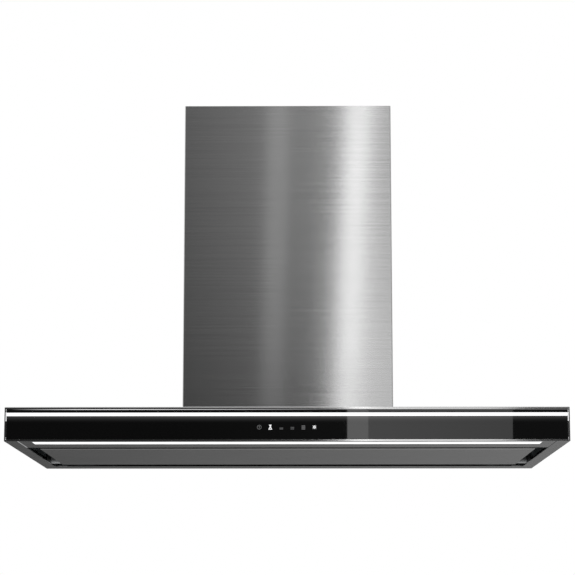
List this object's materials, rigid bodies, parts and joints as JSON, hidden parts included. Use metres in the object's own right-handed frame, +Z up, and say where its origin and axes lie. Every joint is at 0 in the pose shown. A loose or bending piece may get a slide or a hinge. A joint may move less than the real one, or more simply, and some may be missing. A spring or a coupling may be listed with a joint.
{
  "type": "canopy range hood",
  "caption": "Wall-mounted canopy range hood with a flat box canopy, touch-control glass front, perimeter suction panel, light bars and telescopic flue.",
  "frame": {"origin": "middle of the canopy's rear bottom edge, in the wall plane", "axes": "+X to the right seen from the front, +Y towards the wall, +Z up"},
  "size_m": [0.9, 0.5, 0.611],
  "materials": {
    "brushed_stainless": "horizontal brushed grain",
    "black_glass": "black printed glass, polished",
    "spring_steel": "smooth",
    "galvanised_steel": "matt zinc",
    "light_acrylic": "frosted white, lit",
    "circuit_board": "white solder mask",
    "dark_plastic": "moulded black",
    "white_plastic": "moulded white",
    "grey_plastic": "moulded light grey",
    "mill_aluminium": "mill finish",
    "black_painted_steel": "matt black powder coat",
    "rubber": "moulded",
    "foam": "open-cell foam"
  },
  "bodies": {
    "hood": {"canopy_shell": "brushed_stainless", "front_glass": "black_glass", "glass_clips": "spring_steel", "front_light_guide": "light_acrylic", "front_led_strip": "circuit_board", "front_light_holder": "galvanised_steel", "touch_light_guide": "dark_plastic", "touch_board": "circuit_board", "light_rail": "brushed_stainless", "lower_light_lens": "light_acrylic", "lower_led_channel": "mill_aluminium", "lower_led_strip": "circuit_board", "control_box_base": "dark_plastic", "control_box_lid": "dark_plastic", "control_board": "circuit_board", "led_driver": "white_plastic", "panel_magnets": "dark_plastic", "hinge_brackets": "galvanised_steel", "hinge_pins": "spring_steel", "hinge_bushes": "grey_plastic", "filter_deck": "black_painted_steel", "filter_ledges": "black_painted_steel", "filter_frame_right": "mill_aluminium", "filter_frame_left": "mill_aluminium", "filter_mesh_right": "mill_aluminium", "filter_mesh_left": "mill_aluminium", "blower_box": "galvanised_steel", "mounting_backplate": "galvanised_steel", "scroll_band": "galvanised_steel", "scroll_side_right": "galvanised_steel", "scroll_side_left": "galvanised_steel", "motor": "black_painted_steel", "motor_bracket": "galvanised_steel", "motor_grommets": "rubber", "inlet_guard": "spring_steel", "capacitor": "white_plastic", "terminal_block": "white_plastic", "cable_gland": "dark_plastic", "acoustic_pads": "foam", "duct_collar": "dark_plastic", "damper_pins": "spring_steel", "lower_flue": "brushed_stainless", "flue_bracket": "galvanised_steel"},
    "panel": {"suction_panel": "brushed_stainless", "panel_liner": "galvanised_steel", "panel_strikes": "galvanised_steel"},
    "rotor": {"impeller": "galvanised_steel", "motor_shaft": "spring_steel"},
    "flap_front": {"damper_flap_front": "dark_plastic"},
    "flap_rear": {"damper_flap_rear": "dark_plastic"},
    "flue_extension": {"upper_flue": "brushed_stainless"},
    "latch_left": {"filter_latch_left": "dark_plastic"},
    "latch_right": {"filter_latch_right": "dark_plastic"}
  },
  "joints": [
    {"name": "panel_hinge", "type": "hinge", "parent": "hood", "child": "panel", "pos_m": [0, -0.096, 0.0065], "axis": [1, 0, 0], "range_deg": [0, 80]},
    {"name": "impeller_spin", "type": "hinge", "parent": "hood", "child": "rotor", "pos_m": [0, -0.132, 0.18], "axis": [1, 0, 0], "continuous": true},
    {"name": "damper_front", "type": "hinge", "parent": "hood", "child": "flap_front", "pos_m": [0, -0.0934, 0.392], "axis": [-1, 0, 0], "range_deg": [0, 75]},
    {"name": "damper_rear", "type": "hinge", "parent": "hood", "child": "flap_rear", "pos_m": [0, -0.0866, 0.392], "axis": [1, 0, 0], "range_deg": [0, 75]},
    {"name": "flue_draw_out", "type": "slide", "parent": "hood", "child": "flue_extension", "axis": [0, 0, 1], "range_m": [0, 0.35]},
    {"name": "latch_turn_left", "type": "hinge", "parent": "hood", "child": "latch_left", "pos_m": [-0.175, -0.352, 0.024], "axis": [0, 0, 1], "range_deg": [-90, 0]},
    {"name": "latch_turn_right", "type": "hinge", "parent": "hood", "child": "latch_right", "pos_m": [0.175, -0.352, 0.024], "axis": [0, 0, 1], "range_deg": [0, 90]}
  ]
}
